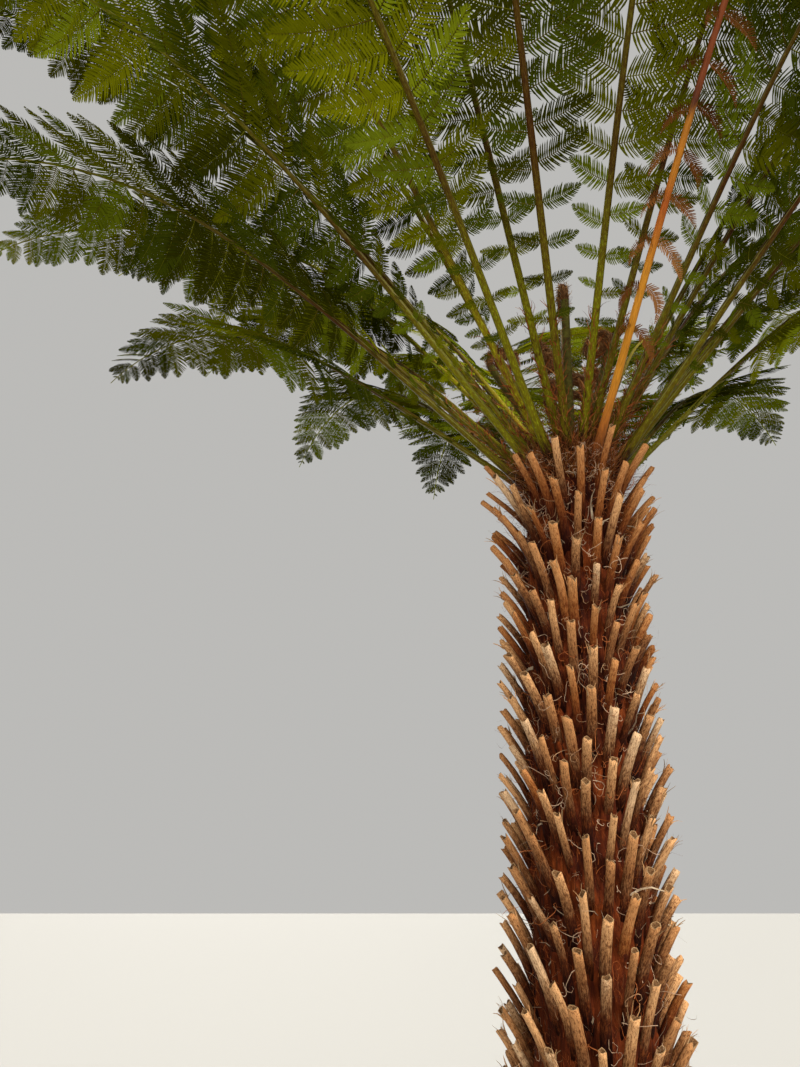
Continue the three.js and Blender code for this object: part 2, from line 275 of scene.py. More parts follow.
def leaflet_length(share):
    """A smooth rise to the longest leaflet, then a fall by a power of what is left of the row."""
    reach = np.clip(share / LEAFLET_PEAK, 0, 1)
    rise = reach ** 2 * (3 - 2 * reach)
    fall = np.minimum((1 - share) / (1 - LEAFLET_PEAK), 1) ** LEAFLET_FALL
    return LEAFLET_LENGTH * (LEAFLET_LEAST + (1 - LEAFLET_LEAST) * rise) * fall


# Meshes from arrays

def ring_of(corners):
    """Corners evenly round a circle of radius 1, counter-clockwise."""
    angle = TURN * np.arange(corners) / corners
    return np.stack([np.cos(angle), np.sin(angle)], axis=-1)


def tube_points(centres, side, upper, width, depth, profile):
    """Rings of tubes: the centre, plus the profile along side and upper by half the width and the depth."""
    across = (width / 2)[..., None, None] * profile[:, :1] * side[..., None, :]
    over = (depth / 2)[..., None, None] * profile[:, 1:] * upper[..., None, :]
    return centres[..., None, :] + across + over


def grid_faces(points, closed):
    """Faces between neighbours in each grid of points, and where each corner lies, round it and along it."""
    count, rings, corners = points.shape[:3]
    across = corners if closed else corners - 1
    along, around = np.divmod(np.arange((rings - 1) * across), across)
    column = around[:, None] + [0, 1, 1, 0]
    row = along[:, None] + [0, 0, 1, 1]
    faces = row * corners + column % corners
    first = (np.arange(count) * rings * corners)[:, None, None]
    uv = np.stack([column / corners, row / (rings - 1)], axis=-1)
    return (faces + first).reshape(-1, 4), np.tile(uv, (count, 1, 1))


def tubes(points, tone, end_tone, stretch=1.0, shift=0.0):
    """Tubes with flat ends. Their pattern is stretched along them and shifted from one to the next."""
    count, rings, corners = points.shape[:3]
    faces, uv = grid_faces(points, True)
    shift = np.repeat(np.broadcast_to(shift, (count, 2)), len(faces) // count, axis=0)[:, None]
    tone = np.broadcast_to(tone, (count, rings - 1, corners)).ravel()
    order = np.arange(count * rings * corners).reshape(count, rings, corners)
    ends = np.concatenate([order[:, 0, ::-1], order[:, -1]])
    return points, [(faces, tone, uv * [1.0, stretch] + shift), (ends, end_tone, 0)]


def ribbons(points, tone):
    """Flat ribbons, each in the slot of its tone."""
    faces, uv = grid_faces(points, False)
    return points, [(faces, np.repeat(tone, points.shape[1] - 1), uv)]


def bent(first, last, share):
    """The way to a share of a line of length 1 whose direction turns evenly from first to last."""
    return share * first + share ** 2 / 2 * (last - first)


def wave(chance, share, *shape):
    """A sine wave along each strand, of its own pace and start."""
    return np.sin(share * chance.uniform(3, 9, shape) + chance.uniform(0, 6, shape))


def strands(root, first, last, length, width, steps, chance, kink):
    """Flat ribbons: root plus length times a bent way, with a sideways wave that grows towards the tip."""
    share = np.linspace(0, 1, steps)[:, None]
    first, last, root = first[:, None], last[:, None], root[:, None]
    reach = length[:, None, None]
    side = unit(np.cross(first, last) + 1e-4)
    sway = side * wave(chance, share, *reach.shape) * reach * share * kink
    line = root + reach * bent(first, last, share) + sway
    half = width[:, None, None] / 2 * (1 - 0.7 * share)
    across = unit(np.cross(first + 0 * share, side) + side * chance.normal(0, 0.7, reach.shape))
    return np.stack([line - across * half, line + across * half], axis=2)


def in_scene(name, data):
    """A new object that holds the data, in the scene."""
    item = bpy.data.objects.new(name, data)
    bpy.context.scene.collection.objects.link(item)
    return item


def make_piece(name, nodes, parts, materials, outward=None):
    """One mesh from parts, in place of the nodes.

    A part is its points and groups of faces that count from its first point. A group has its faces, the
    material's number of each, and where each corner lies in a pattern. Outward, where given, says how far
    along a tube each point of the first part lies, from 0 to 1. The other parts count as tips.
    """
    firsts = np.cumsum([0] + [points.size // 3 for points, _ in parts])
    groups = [(faces + first, *rest) for (_, own), first in zip(parts, firsts) for faces, *rest in own]
    points = np.concatenate([points.reshape(-1, 3) for points, _ in parts])
    corners = np.concatenate([faces.ravel() for faces, _, _ in groups])
    sizes = np.concatenate([np.full(len(faces), faces.shape[1]) for faces, _, _ in groups])
    tones = np.concatenate([np.broadcast_to(tone, len(faces)) for faces, tone, _ in groups])
    uvs = np.concatenate([np.broadcast_to(uv, (*faces.shape, 2)).ravel() for faces, _, uv in groups])
    mesh = bpy.data.meshes.new(name)
    mesh.vertices.add(len(points))
    mesh.vertices.foreach_set("co", points.astype(np.float32).ravel())
    mesh.loops.add(len(corners))
    mesh.loops.foreach_set("vertex_index", corners.astype(np.int32))
    mesh.polygons.add(len(sizes))
    mesh.polygons.foreach_set("loop_start", (np.cumsum(sizes) - sizes).astype(np.int32))
    mesh.polygons.foreach_set("material_index", tones.astype(np.int32))
    mesh.uv_layers.new(name="along").data.foreach_set("uv", uvs.astype(np.float32))
    if outward is not None:
        outward = np.append(outward, np.ones(len(points) - outward.size)).astype(np.float32)
        mesh.attributes.new("outward", "FLOAT", "POINT").data.foreach_set("value", outward)
    mesh.shade_smooth()
    mesh.update(calc_edges=True)
    mesh.validate()
    for material in materials:
        mesh.materials.append(material)
    piece = in_scene(name, mesh)
    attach(piece, "root")
    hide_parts(*nodes)


# Finishes

class Finish:
    """A material with one shader, and the patterns that colour it."""

    def __init__(self, name, roughness, gloss):
        self.material = bpy.data.materials.new(name)
        self.material.use_nodes = True
        self.tree = self.material.node_tree
        self.shader = self.tree.nodes["Principled BSDF"]
        self.fill(self.shader, {"Roughness": roughness, "Specular IOR Level": gloss})

    def fill(self, node, inputs):
        """Sets a node's inputs. One that is another node's output is linked."""
        for name, value in inputs.items():
            if isinstance(value, bpy.types.NodeSocket):
                self.tree.links.new(value, node.inputs[name])
            else:
                node.inputs[name].default_value = value

    def add(self, kind, output, inputs, **settings):
        """The output of a new node with its settings and inputs."""
        node = self.tree.nodes.new("ShaderNode" + kind)
        for name, value in settings.items():
            setattr(node, name, value)
        self.fill(node, inputs)
        return node.outputs[output]

    def place(self, space, stretch=(1, 1, 1)):
        """Where a pattern lies: in the object's space or along a part, stretched."""
        source = self.add("TexCoord", space, {})
        return self.add("Mapping", "Vector", {"Vector": source, "Scale": stretch})

    def cloud(self, space, stretch, scale, detail, roughness=0.6):
        """A cloudy pattern in a stretched space."""
        inputs = {"Vector": self.place(space, stretch), "Scale": scale, "Detail": detail}
        return self.add("TexNoise", "Fac", {**inputs, "Roughness": roughness})

    def math(self, operation, *values):
        """A sum or product of values."""
        return self.add("Math", 0, dict(enumerate(values)), operation=operation)

    def ramp(self, value, stops):
        """Colours that follow a value through the stops."""
        colours = self.add("ValToRGB", "Color", {"Fac": value})
        elements = colours.node.color_ramp.elements
        while len(elements) < len(stops):
            elements.new(0.5)
        for element, (position, colour) in zip(elements, stops):
            element.position = position
            element.color = (*colour, 1)
        return colours

    def mix(self, blend, share, first, second):
        """Two colours blended."""
        inputs = {0: share, 6: first, 7: second}
        return self.add("Mix", 2, inputs, data_type="RGBA", blend_type=blend)

    def relief(self, height, strength, distance):
        """Relief that follows a value."""
        inputs = {"Strength": strength, "Distance": distance, "Height": height}
        self.fill(self.shader, {"Normal": self.add("Bump", "Normal", inputs)})

    def paint(self, colour):
        """Gives the shader its colour."""
        self.fill(self.shader, {"Base Color": colour})


def along_part(name, stops, spread, roughness, relief, grain, gloss=0.2, specks=None):
    """Colours that follow the way along a part, with an uneven border, under fine dark streaks.

    Specks, where given, is the shade of small dark spots on it, which thin out towards its end.
    """
    finish = Finish(name, roughness, gloss)
    way = finish.add("Attribute", "Fac", {}, attribute_name="outward")
    patches = finish.cloud("UV", (5, 4, 1), 1.6, 4, 0.65)
    uneven = finish.math("ADD", way, finish.math("MULTIPLY_ADD", patches, spread, -spread / 2))
    streaks = finish.cloud("UV", (26, 7, 1), 1.0, 5, 0.7)
    shade = finish.ramp(streaks, [(0.3, (grain, grain, grain)), (0.56, WHITE)])
    colour = finish.mix("MULTIPLY", 1, finish.ramp(uneven, stops), shade)
    if specks:
        spots = finish.math("MULTIPLY_ADD", way, 0.14, finish.cloud("UV", (20, 15, 1), 1.0, 5, 0.8))
        colour = finish.mix("MULTIPLY", 1, colour, finish.ramp(spots, [(0.52, specks), (0.64, WHITE)]))
    finish.paint(colour)
    finish.relief(streaks, relief, 0.002)
    return finish.material


def streaked(name, dark, middle, pale, roughness, relief, gloss):
    """Streaks along a stalk in three shades, with fine relief."""
    finish = Finish(name, roughness, gloss)
    streaks = finish.cloud("UV", (9, 5, 1), 3.0, 5, 0.65)
    finish.paint(finish.ramp(streaks, [(0.32, dark), (0.5, middle), (0.68, pale)]))
    finish.relief(finish.cloud("UV", (26, 6, 1), 4.0, 3), relief, 0.002)
    return finish.material


def mottled(name, stops, scale):
    """Cloudy patches of the stops' colours, with relief of a finer cloud."""
    finish = Finish(name, 0.85, 0.1)
    finish.paint(finish.ramp(finish.cloud("Object", (1, 1, 1), scale, 6, 0.7), stops))
    finish.relief(finish.cloud("Object", (1, 1, 1), scale * 3, 5, 0.7), 0.7, 0.004)
    return finish.material


def fibrous(**shades):
    """Mottled finishes, each from a dark and a pale shade."""
    return [mottled(name, [(0.35, dark), (0.65, pale)], 40) for name, (dark, pale) in shades.items()]


def leafy(name, colour, roughness=0.6):
    """One plain colour, dealt out by leaflet, with the faint relief of veins."""
    finish = Finish(name, roughness, 0.0)
    finish.paint((*colour, 1))
    finish.relief(finish.cloud("Object", (1, 1, 1), 260, 2), 0.25, 0.001)
    return finish.material


# Trunk

def mantle_relief(azimuth, height):
    """Relief of the mantle of roots and old fibres, in metres.

    A sum of sine waves that run up the trunk, deeper near the ground, plus swellings under the leaf bases: a
    power of the product of a cosine from column to column and one from row to row, where that is positive.
    """
    chance = np.random.default_rng(11)
    turns = chance.integers(9, 62, MANTLE_WAVES)
    climb = chance.normal(0, 7, MANTLE_WAVES)
    phase = chance.uniform(0, TURN, MANTLE_WAVES)
    wander = 0.5 * np.sin(3 * azimuth + 5.1 * height) + 0.35 * np.sin(5 * azimuth - 8.7 * height + 1)
    angle = azimuth[..., None] * turns + height[..., None] * climb + phase + wander[..., None] * 2.4
    fibres = (np.sin(angle) / np.sqrt(turns)).sum(axis=-1) * 0.0042
    low = np.exp(-height / 0.55)
    row = (height - row_height(0)) / ROW_HEIGHT
    column = (azimuth - row * ROW_TWIST) / (TURN / STUB_COLUMNS)
    swelling = np.maximum(np.cos(np.pi * column) * np.cos(np.pi * (row - 0.1)), 0)
    return fibres * (0.7 + 1.7 * low) + 0.013 * swelling ** 1.5 * (1 - low)


def mantle():
    """The trunk between its leaf bases: a leaning tube of its radius plus its relief, closed by the dome."""
    azimuth = TURN * np.arange(MANTLE_COLUMNS) / MANTLE_COLUMNS
    height = np.linspace(0, TRUNK_HEIGHT, int(TRUNK_HEIGHT / MANTLE_STEP))[:, None]
    radius = trunk_radius(height) - MANTLE_SUNK + mantle_relief(azimuth, height)
    share = np.linspace(1, 0.03, DOME_RINGS)[1:, None]
    bumps = mantle_relief(azimuth, 0 * share + TRUNK_HEIGHT) * share
    over = dome_height(share) - DOME_SUNK + bumps
    dome = on_trunk(DOME_RADIUS * DOME_SHRINK * share + bumps, azimuth, over)
    points = np.concatenate([on_trunk(radius, azimuth, height), dome])[None]
    make_piece("trunk_mantle", ["trunk"], [tubes(points, 0, 0)], [mantle_finish()])


def mantle_finish():
    """Matted fibres: streaks over cloudy patches from near black to rust, browner near the ground.

    The near-black end is partly the roots' own dark brown and partly painted shade between the leaf bases.
    """
    finish = Finish("matted_roots_and_painted_shade", 0.9, 0.1)
    streaks = finish.cloud("Object", (1, 1, 0.22), 95, 6, 0.7)
    patches = finish.cloud("Object", (1, 1, 0.6), 11, 3)
    total = finish.math("MULTIPLY_ADD", patches, 0.55, finish.math("MULTIPLY", streaks, 0.5))
    # The darkest stops are partly the roots' own colour and partly painted shade between the leaf bases.
    red = [(0.4, (0.014, 0.002, 0.001)), (0.51, (0.048, 0.007, 0.001)), (0.6, (0.105, 0.019, 0.003)),
           (0.72, (0.22, 0.048, 0.008))]
    brown = [(0.4, (0.008, 0.004, 0.003)), (0.51, (0.03, 0.015, 0.008)), (0.6, (0.08, 0.042, 0.022)),
             (0.72, (0.18, 0.105, 0.058))]
    height = finish.add("SeparateXYZ", "Z", {0: finish.place("Object")})
    up = finish.add("MapRange", "Result", {"Value": height, "From Min": 0.25, "From Max": 1.25})
    finish.paint(finish.mix("MIX", up, finish.ramp(total, brown), finish.ramp(total, red)))
    finish.relief(streaks, 0.9, 0.006)
    return finish.material


def foot_roots():
    """Wiry roots over the foot: thin tubes that follow the mantle's surface.

    The centre line's height falls evenly. Its azimuth is a start plus a drift and a sine wave along it.
    """
    chance = np.random.default_rng(17)
    each = (FOOT_ROOTS, 1)
    share = np.linspace(0, 1, ROOT_RINGS)
    top = 0.1 + 1.15 * chance.random(each) ** 1.5
    low = np.maximum(top - chance.uniform(0.14, 0.5, each), 0.004)
    height = top + (low - top) * share
    sway = 0.035 * wave(chance, share, *each)
    azimuth = chance.uniform(0, TURN, each) + chance.normal(0, 0.14, each) * share + sway
    thick = chance.uniform(0.0022, 0.0062, each) * (1 - 0.35 * share)
    surface = trunk_radius(height) - MANTLE_SUNK + mantle_relief(azimuth, height)
    lift = chance.uniform(0, 0.008, each) * np.sin(np.pi * share)
    inside = 0.012 * np.clip(1 - share / 0.12, 0, 1)
    centres = on_trunk(surface + thick * 0.3 + lift - inside, azimuth, height)
    outward, level, _ = heading(azimuth, 90 * DEGREE)
    points = tube_points(centres, level, outward, thick, thick, ring_of(ROOT_CORNERS))
    points[..., 2] = np.maximum(points[..., 2], 0.001)
    tone = chance.integers(0, 3, (*each, 1))
    materials = fibrous(
        root_brown=((0.04, 0.02, 0.01), (0.125, 0.066, 0.034)),
        root_dark=((0.014, 0.007, 0.004), (0.05, 0.024, 0.013)),
        root_rust=((0.05, 0.016, 0.007), (0.15, 0.052, 0.02)),
    )
    make_piece("foot_roots", ["trunk"], [tubes(points, tone, 1)], materials)


def stubs():
    """Which leaf bases stand out, and the start and the direction of each, as in the solids."""
    index = np.arange(STUB_ROWS * STUB_COLUMNS)
    row, column = np.divmod(index, STUB_COLUMNS)
    shown = LEAST_SHOWN + np.clip((row_height(row) - row_height(0)) / (THIN_BELOW - row_height(0)), 0, 1)
    stands = ((row + column) % 2 == 0) & (row < STUB_ROWS - 1) & (scatter(index, STUB_SHOWS_CHANNEL) < shown)
    row, column, index = row[stands], column[stands], index[stands]
    height = row_height(row) + ROW_HEIGHT / 2
    longer = np.clip((height - LENGTHEN_FROM) / (TRUNK_HEIGHT - LENGTHEN_FROM), 0, 1)
    azimuth = column / STUB_COLUMNS * TURN + (row + 0.5) * ROW_TWIST
    turned = azimuth + STUB_AZIMUTH_SPREAD * drift(index, STUB_AZIMUTH_CHANNEL)
    tilt = STUB_TILT + STUB_EXTRA_TILT * longer + STUB_TILT_SPREAD * drift(index, STUB_TILT_CHANNEL)
    varied = 1 + STUB_LENGTH_SPREAD * drift(index, STUB_LENGTH_CHANNEL)
    return height, azimuth, turned, tilt, (STUB_LENGTH + STUB_EXTRA_LENGTH * longer) * varied


def leaf_bases():
    """Cut leaf bases: each a curved tube that leaves the mantle low down and bends out to its end.

    Its centre line is a quadratic curve from inside the mantle, past the root of the solid's leaf base, to
    that one's cut end. The end is an uneven rim round a shallow cup, and some have splinters.
    """
    height, azimuth, turned, tilt, length = stubs()
    chance = np.random.default_rng(23)
    count = len(height)
    along, side, _ = (v[:, None] for v in heading(turned, tilt))
    reach = length[:, None, None]
    root = on_trunk(trunk_radius(height), azimuth, height)[:, None]
    tip = root + reach * along
    drop = chance.uniform(0.058, 0.098, count)
    start = on_trunk(trunk_radius(height - drop) - 0.02, azimuth, height - drop)[:, None]
    middle = root + 0.16 * reach * along + side * chance.normal(0, 0.008, reach.shape)
    share = np.array([0, 0.26, 0.5, 0.72, 0.9, 1])[:, None]
    centres = (1 - share) ** 2 * start + 2 * share * (1 - share) * middle + share ** 2 * tip
    course = unit(2 * (1 - share) * (middle - start) + 2 * share * (tip - middle))
    across = unit(side - (side * course).sum(axis=-1, keepdims=True) * course)
    thick = chance.uniform(0.0176, 0.0262, (count, 1))
    width = thick * np.interp(share[:, 0], [0, 0.3, 1], [1.34, 1.1, 0.97])
    profile = ring_of(BASE_CORNERS) * np.array([1.03, 0.97, 1.02, 0.96, 1.04, 0.98, 0.84, 1.0])[:, None]
    body = tube_points(centres, across, np.cross(course, across), width, width * 0.93, profile)
    end, end_course = centres[:, -1:, None], course[:, -1:, None]
    slant = chance.normal(0, 0.3, reach.shape) * profile[:, :1]
    slant = slant + chance.normal(0, 0.3, (count, BASE_CORNERS, 1))
    body[:, -1:] += end_course * np.clip(slant, -1.0, 0.25)[:, None] * CUP_DEPTH
    rim = end + (body[:, -1:] - end) * 0.78
    cup = end + (rim - end) * 0.8 - end_course * CUP_DEPTH
    points = np.concatenate([body, rim, cup], axis=1)
    shift = chance.uniform(0, 40, (count, 2))
    orange = chance.random(count) < 0.03 + 0.75 * np.clip((height - 1.7) / 0.9, 0, 1)
    shade = np.where(orange, 3, chance.choice(3, count, p=[0.54, 0.28, 0.18]))
    tone = np.repeat(shade[:, None, None], points.shape[1] - 1, axis=1)
    tone[:, -2:, 0] = [4, 5]
    # A random shift of how far the weathering and the painted shade reach up each base.
    wear_and_shade = chance.normal(0, 0.1, reach.shape)
    outward = np.repeat(np.append(share, [1, 1])[:, None] + wear_and_shade, BASE_CORNERS, axis=2)

    torn = np.repeat(np.arange(count), chance.choice([0, 3, 6], count, p=[0.55, 0.3, 0.15]))
    each = (len(torn), 1)
    corner = chance.integers(0, BASE_CORNERS, len(torn))
    outwards = unit(body[torn, -1, corner] - centres[torn, -1])
    first = unit(course[torn, -1] + outwards * chance.uniform(0.0, 0.25, each))
    last = unit(course[torn, -1] + outwards * chance.uniform(0.2, 1.4, each))
    torn_length = chance.uniform(0.012, 0.034, len(torn)) + 0.1 * length[torn]
    torn_width = chance.uniform(0.0018, 0.005, len(torn))
    splinters = strands(body[torn, -2, corner], first, last, torn_length, torn_width, SPLINTER_STEPS, chance,
                        0.06)
    parts = [tubes(points, tone, np.repeat([0, 5], count), 1.6, shift),
             ribbons(splinters, chance.choice([0, 4], len(torn)))]
    make_piece("leaf_bases", ["trunk"], parts, leaf_base_finishes(), outward)


def leaf_base_finishes():
    """Shades of the cut leaf bases: from red at the root to tan, a pale rim and a darker hollow.

    The darkening towards the root is partly the bases' own red and weathering and partly painted shade.
    """
    def shaded(name, low, high, wear_and_shade=(0.2, 0.09, 0.036), specks=(0.26, 0.16, 0.11)):
        """From the dark red root through the weathered brown to the clean upper part.

        The root's dark red and the weathered brown are partly own colour and partly painted shade.
        """
        stops = [(0.15, (0.04, 0.006, 0.001)), (0.37, (0.13, 0.034, 0.007)), (0.48, wear_and_shade), (0.64, low),
                 (0.92, high)]
        return along_part(name, stops, spread=0.42, roughness=0.8, relief=0.9, grain=0.46, gloss=0.08,
                          specks=specks)

    return [
        shaded("leaf_base_tan", (0.335, 0.16, 0.062), (0.62, 0.338, 0.15)),
        shaded("leaf_base_brown", (0.23, 0.094, 0.032), (0.45, 0.214, 0.082)),
        shaded("leaf_base_straw", (0.39, 0.214, 0.098), (0.64, 0.42, 0.238)),
        shaded("leaf_base_orange", (0.29, 0.106, 0.027), (0.48, 0.222, 0.08), (0.205, 0.064, 0.015),
               (0.42, 0.25, 0.16)),
        streaked("leaf_base_rim", (0.05, 0.022, 0.009), (0.24, 0.14, 0.064), (0.6, 0.43, 0.25), 0.9, 0.6,
                 0.05),
        streaked("leaf_base_hollow", (0.03, 0.012, 0.005), (0.11, 0.054, 0.023), (0.27, 0.155, 0.075), 0.9,
                 0.6, 0.02),
    ]


def fibres():
    """Hair of the mantle: short hairs that lie along it, and loose fibres and shreds that curl out of it."""
    chance = np.random.default_rng(31)
    loose = chance.random(HAIRS) < 0.17
    torn = chance.random(HAIRS) < 0.008
    far = loose | torn
    height = 0.05 + (TRUNK_HEIGHT - 0.07) * chance.random(HAIRS) ** 0.85
    azimuth = chance.uniform(0, TURN, HAIRS)
    outward, level, _ = heading(azimuth, 90 * DEGREE)
    root = on_trunk(trunk_radius(height) - 0.002, azimuth, height)
    sideways = chance.normal(0, 0.5, (HAIRS, 1)) * level
    rise = np.where(far, chance.uniform(-0.2, 1.6, HAIRS), chance.choice([-1, 1, 1], HAIRS) * 1.5)[:, None]
    first = unit(outward * np.where(far, 1.0, 0.55)[:, None] + sideways + UP * rise)
    tangle = chance.normal(0, 0.9, (HAIRS, 3)) * np.where(far, 1, 0.5)[:, None]
    last = unit(outward * 0.3 + tangle + UP * rise * 0.4)
    length = np.where(far, chance.uniform(0.03, 0.11, HAIRS), chance.uniform(0.012, 0.042, HAIRS))
    width = np.where(torn, chance.uniform(0.004, 0.01, HAIRS), chance.uniform(0.0008, 0.002, HAIRS))
    points = strands(root, first, last, length, width, HAIR_STEPS, chance, 0.14)
    tone = np.where(far, chance.choice(3, HAIRS, p=[0.42, 0.36, 0.22]), chance.integers(0, 2, HAIRS))
    materials = fibrous(
        fibre_rust=((0.11, 0.022, 0.005), (0.3, 0.08, 0.018)),
        fibre_brown=((0.04, 0.01, 0.003), (0.12, 0.038, 0.012)),
        fibre_pale=((0.2, 0.13, 0.08), (0.4, 0.3, 0.2)),
        shred_pale=((0.22, 0.15, 0.09), (0.5, 0.4, 0.28)),
    )
    make_piece("trunk_fibres", ["trunk"], [ribbons(points, np.where(torn, 3, tone))], materials)


def curls():
    """Fine pale fibres that curl between the leaf bases: each a line bent round by slow sine waves.

    Most are near the trunk's top.
    """
    chance = np.random.default_rng(33)
    each = (CURLS, 1)
    height = TRUNK_HEIGHT + 0.04 - (TRUNK_HEIGHT - 0.25) * chance.random(CURLS) ** 2.2
    azimuth = chance.uniform(0, TURN, CURLS)
    out, level, _ = (v[:, None] for v in heading(azimuth, 90 * DEGREE))
    root = on_trunk(trunk_radius(height) + chance.uniform(-0.002, 0.02, CURLS), azimuth, height)
    share = np.linspace(0, 1, CURL_STEPS)
    first, second = chance.uniform(0, TURN, (2, *each))
    turn = chance.uniform(3, 9, each) * chance.choice([-1, 1], each)
    bearing = (first + turn * share + 1.1 * np.sin(second + 7 * share))[..., None]
    lift = (0.55 * np.sin(second + 3 * share) + 0.35)[..., None]
    step = unit(level * np.cos(bearing) + UP * np.sin(bearing) + out * lift)
    length = chance.uniform(0.03, 0.15, (*each, 1))
    line = root[:, None] + (step * (length / CURL_STEPS)).cumsum(axis=1)
    across = unit(np.cross(step, out)) * chance.uniform(0.0004, 0.0009, (*each, 1))
    points = np.stack([line - across, line + across], axis=2)
    tone = chance.choice(3, CURLS, p=[0.45, 0.3, 0.25])
    materials = fibrous(
        curl_pale=((0.26, 0.16, 0.1), (0.48, 0.34, 0.23)),
        curl_rust=((0.13, 0.03, 0.008), (0.33, 0.1, 0.028)),
        curl_tan=((0.16, 0.08, 0.04), (0.32, 0.19, 0.1)),
    )
    make_piece("trunk_curls", ["trunk"], [ribbons(points, tone)], materials)


def wool(leaves):
    """Woolly hair: strands that stand on the dome, and looser ones round the foot of the inner ribs."""
    chance = np.random.default_rng(37)
    share = np.sqrt(chance.uniform(0, 1.02, DOME_WOOL))
    azimuth = chance.uniform(0, TURN, DOME_WOOL)
    on_dome = on_trunk(DOME_RADIUS * 0.9 * share, azimuth, dome_height(share) - DOME_SUNK - 0.004)
    azimuth = azimuth + chance.normal(0, 0.8, DOME_WOOL)
    standing, _, _ = heading(azimuth, 50 * DEGREE * share + chance.normal(0, 0.3, DOME_WOOL))
    ruffled = unit(standing + chance.normal(0, 0.6, standing.shape))

    inner = pick(leaves, leaves["index"] >= WOOLLY_FROM)
    fraction = 0.15 * np.sort(chance.random(RIB_WOOL)) ** 1.5
    along, side, upper = frond_frame(inner, fraction)
    angle = chance.uniform(0, TURN, side.shape[:2])[..., None]
    out = side * np.cos(angle) + upper * np.sin(angle)
    on_ribs = (frond_course(inner, fraction) + out * RIB_WIDTH * 0.4).reshape(-1, 3)
    rising = unit(along + 0.5 * out + chance.normal(0, 0.25, out.shape)).reshape(-1, 3)
    loose = unit(rising + chance.normal(0, 0.8, rising.shape))

    root = np.concatenate([on_dome, on_ribs])
    first = np.concatenate([standing, rising])
    last = np.concatenate([ruffled, loose])
    length = np.append(chance.uniform(0.06, 0.15, DOME_WOOL), chance.uniform(0.02, 0.07, len(on_ribs)))
    width = np.append(chance.uniform(0.0011, 0.0026, DOME_WOOL),
                      chance.uniform(0.0015, 0.0045, len(on_ribs)))
    points = strands(root, first, last, length, width, HAIR_STEPS, chance, 0.12)
    tone = chance.choice(3, len(root), p=[0.5, 0.3, 0.2])
    materials = fibrous(
        wool_rust=((0.13, 0.03, 0.007), (0.29, 0.08, 0.018)),
        wool_dark=((0.03, 0.008, 0.003), (0.09, 0.026, 0.008)),
        wool_gold=((0.19, 0.07, 0.018), (0.36, 0.16, 0.05)),
    )
    make_piece("crown_wool", ["trunk"], [ribbons(points, tone)], materials)


# Fronds

def rib_shell(leaves):
    """Ribs of fronds: the solid's course, a little slimmer, round below and grooved above.

    The first ring lies in the dome, and the rib swells there into its leaf base.
    """
    fraction = np.append(0, np.linspace(0.012, 1, RIB_RINGS - 1) ** 1.15)
    centres = frond_course(leaves, fraction)
    along, side, upper = frond_frame(leaves, fraction)
    centres[:, 0] -= along[:, 0] * 0.072
    width = RIB_WIDTH * (1 - RIB_TAPER * fraction) * (RIB_SLIMNESS + 0.4 * np.exp(-fraction * 60))
    profile = np.stack([np.cos(RIB_SECTION), np.sin(RIB_SECTION)], axis=-1)
    profile[RIB_GROOVE] *= 0.78
    points = tube_points(centres, side, upper, width, width * 0.86, profile)
    return points, np.broadcast_to(fraction[:, None], points.shape[:3])


def midrib_shell(rows):
    """Thin three-sided tubes along the leaflets' midribs, tapering to their tips."""
    share = np.linspace(0, 1, MIDRIB_RINGS)[:, None]
    root, first, last, upper = (rows[name][:, None] for name in ("root", "first", "last", "upper"))
    reach = rows["length"][:, None, None]
    centres = root + reach * bent(first, last, share) * 0.985
    course = unit(first + share * (last - first))
    side = unit(np.cross(course, upper))
    width = (0.0018 + 0.0062 * reach[..., 0]) * (1 - 0.72 * share[:, 0])
    return tube_points(centres, side, np.cross(course, side), width, width, ring_of(3))


def leaflets(leaves, chance, pairs, scale, least, start, end):
    """Midribs of all leaflets: where each starts, its first and last direction, length and upper face.

    A leaflet points to the rib's side, at its sweep from the rib and down by its droop. Start and end are
    the droop and an extra turn there, in degrees. It bends evenly between them, in a parabola.
    """
    middles = leaflet_places(pairs)
    share = (np.arange(pairs) + 0.5) / pairs
    shape = (len(leaves["index"]), pairs, 2)
    along, side, upper = (v[:, :, None] for v in frond_frame(leaves, middles))
    side = side * [[-1.0], [1.0]]
    sweep = (FIRST_SWEEP + (LAST_SWEEP - FIRST_SWEEP) * share)[:, None] + chance.normal(0, 4 * DEGREE, shape)
    length = np.maximum(leaflet_length(share) * scale, least)[:, None]
    length = length * (1 + chance.uniform(-0.07, 0.07, shape))
    rib_width = (RIB_WIDTH * (1 - RIB_TAPER * middles))[:, None, None]
    root = frond_course(leaves, middles)[:, :, None] + side * rib_width * 0.36
    root = root + along * chance.uniform(-0.012, 0.012, (*shape, 1))
    slack = chance.normal(0, 5 * DEGREE, shape)

    def towards(droop, turn):
        """The direction at a droop, with the sweep turned on."""
        fall = (droop * DEGREE + slack)[..., None]
        swing = (sweep + turn * DEGREE)[..., None]
        level = side * np.sin(swing) + along * np.cos(swing)
        return unit(level * np.cos(fall) - upper * np.sin(fall))

    return {"root": root, "first": towards(*start), "last": towards(*end), "length": length,
            "upper": np.broadcast_to(upper, root.shape)}


def flattened(rows):
    """The arrays of leaflets as plain rows, one for each leaflet."""
    return {name: values.reshape(-1, *values.shape[3:]) for name, values in rows.items()}


